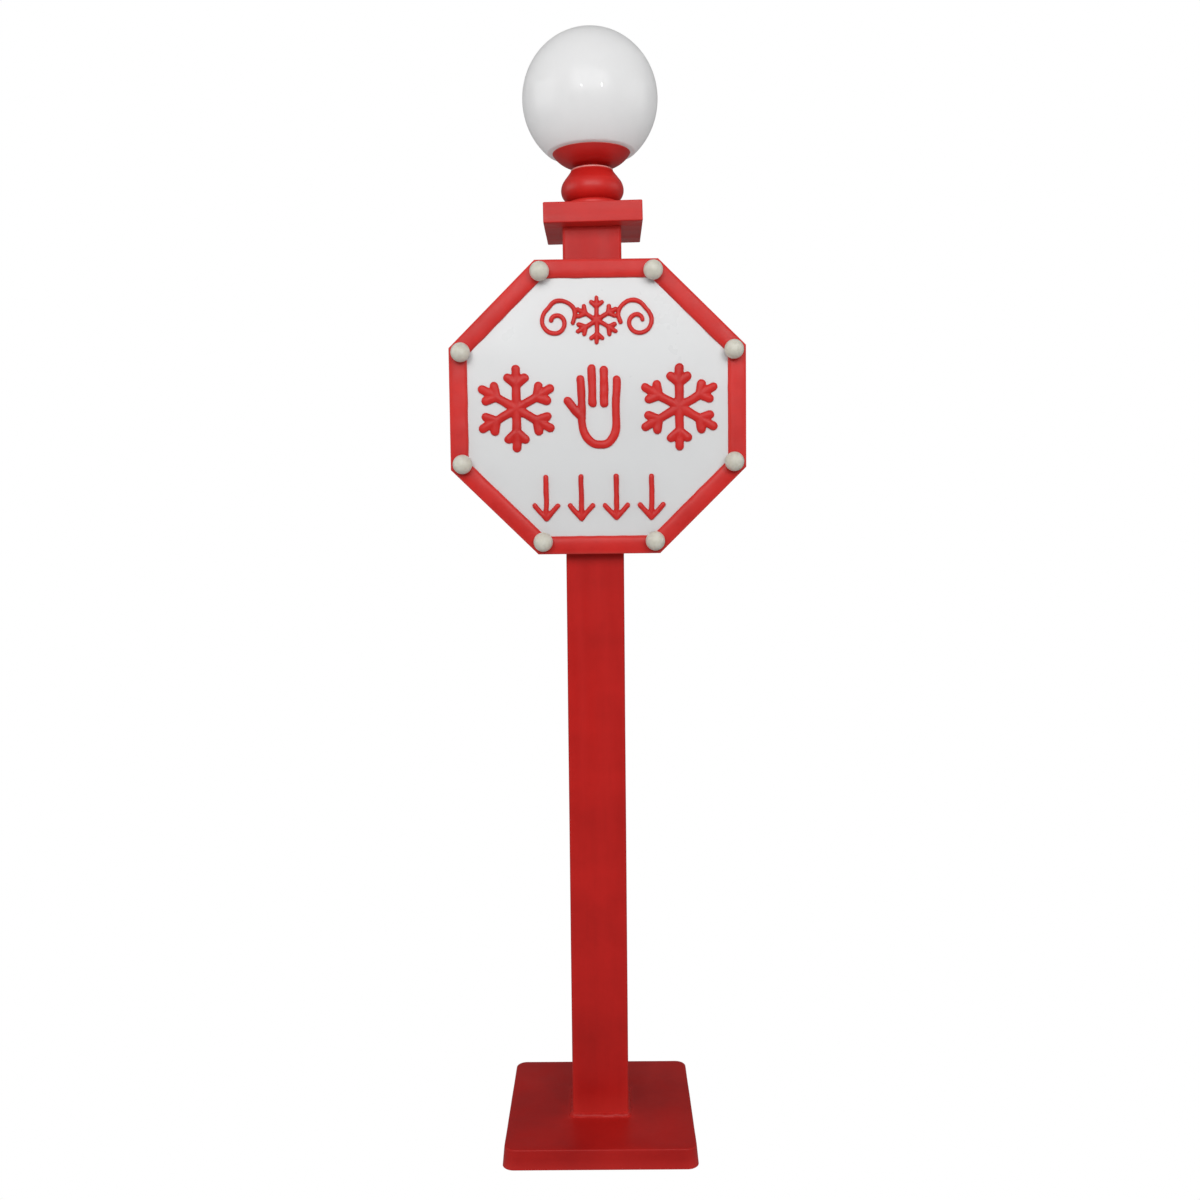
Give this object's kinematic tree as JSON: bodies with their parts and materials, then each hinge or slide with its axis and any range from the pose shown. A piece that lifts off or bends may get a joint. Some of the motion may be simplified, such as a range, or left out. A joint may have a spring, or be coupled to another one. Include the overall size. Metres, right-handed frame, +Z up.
{
  "type": "lit signpost",
  "caption": "Free-standing lit signpost: square post on a weighted base, octagonal box sign with corner bulbs, and a globe lamp on a turned finial.",
  "frame": {"origin": "on the floor, under the middle of the base", "axes": "+Z up along the post, -Y out of the front of the sign, +X to the viewer's right"},
  "size_m": [0.4112, 0.275, 1.5885],
  "materials": {
    "red_paint": "gloss brushed enamel",
    "white_paint": "satin enamel",
    "frosted_bulb": "frosted, satin",
    "opal": "opal, glossy",
    "zinc": "zinc plated",
    "black_steel": "satin powder coat",
    "iron": "rough cast",
    "rubber": "matt",
    "brass": "turned",
    "black_plastic": "moulded",
    "white_plastic": "moulded",
    "wire": "extruded",
    "wood": "sawn",
    "red_wood": "painted, gloss enamel",
    "red_resin": "painted, gloss enamel",
    "bulb_glass": "frosted",
    "ceramic": "glazed"
  },
  "bodies": {
    "stand": {"base_shell": "red_paint", "base_cover": "black_steel", "ballast": "iron", "rubber_feet": "rubber", "base_bolts": "zinc", "foot_flange": "black_steel", "foot_bead": "red_paint", "post_tube": "red_paint", "post_set_screws": "zinc", "cord_gland": "black_plastic", "gland_nut": "black_plastic", "supply_lead": "wire", "led_driver": "white_plastic", "driver_screws": "zinc", "lamp_lead": "wire", "cap_block": "red_wood", "cap_plug": "wood", "lamp_pipe": "brass", "pipe_washer": "zinc", "pipe_nut": "brass", "finial_plinth": "red_wood", "finial_ball": "red_wood", "globe_dish": "red_paint", "dish_nut": "brass", "dish_gasket": "rubber", "lamp_holder": "ceramic", "sign_tray": "red_paint", "sign_face": "white_paint", "sign_border": "red_resin", "pictogram_upper": "red_resin", "pictogram_middle": "red_resin", "pictogram_lower": "red_resin", "bulb_sockets": "black_plastic", "sign_loom": "wire", "sign_lead": "wire", "sign_grommet": "rubber", "sign_bolts": "zinc", "sign_nuts": "zinc"},
    "globe": {"globe": "opal"},
    "lamp_bulb": {"lamp_bulb": "bulb_glass", "lamp_bulb_cap": "zinc"},
    "corner_bulb_1": {"corner_bulb_1": "frosted_bulb"},
    "corner_bulb_2": {"corner_bulb_2": "frosted_bulb"},
    "corner_bulb_3": {"corner_bulb_3": "frosted_bulb"},
    "corner_bulb_4": {"corner_bulb_4": "frosted_bulb"},
    "corner_bulb_5": {"corner_bulb_5": "frosted_bulb"},
    "corner_bulb_6": {"corner_bulb_6": "frosted_bulb"},
    "corner_bulb_7": {"corner_bulb_7": "frosted_bulb"},
    "corner_bulb_8": {"corner_bulb_8": "frosted_bulb"}
  },
  "joints": [
    {"name": "globe_lift", "type": "slide", "parent": "stand", "child": "globe", "axis": [-0.0175, 0, 0.9998], "range_m": [0, 0.14]},
    {"name": "lamp_bulb_pull", "type": "slide", "parent": "stand", "child": "lamp_bulb", "axis": [-0.0175, 0, 0.9998], "range_m": [0, 0.03]},
    {"name": "corner_bulb_1_pull", "type": "slide", "parent": "stand", "child": "corner_bulb_1", "axis": [0, -1, 0], "range_m": [0, 0.022]},
    {"name": "corner_bulb_2_pull", "type": "slide", "parent": "stand", "child": "corner_bulb_2", "axis": [0, -1, 0], "range_m": [0, 0.022]},
    {"name": "corner_bulb_3_pull", "type": "slide", "parent": "stand", "child": "corner_bulb_3", "axis": [0, -1, 0], "range_m": [0, 0.022]},
    {"name": "corner_bulb_4_pull", "type": "slide", "parent": "stand", "child": "corner_bulb_4", "axis": [0, -1, 0], "range_m": [0, 0.022]},
    {"name": "corner_bulb_5_pull", "type": "slide", "parent": "stand", "child": "corner_bulb_5", "axis": [0, -1, 0], "range_m": [0, 0.022]},
    {"name": "corner_bulb_6_pull", "type": "slide", "parent": "stand", "child": "corner_bulb_6", "axis": [0, -1, 0], "range_m": [0, 0.022]},
    {"name": "corner_bulb_7_pull", "type": "slide", "parent": "stand", "child": "corner_bulb_7", "axis": [0, -1, 0], "range_m": [0, 0.022]},
    {"name": "corner_bulb_8_pull", "type": "slide", "parent": "stand", "child": "corner_bulb_8", "axis": [0, -1, 0], "range_m": [0, 0.022]}
  ]
}
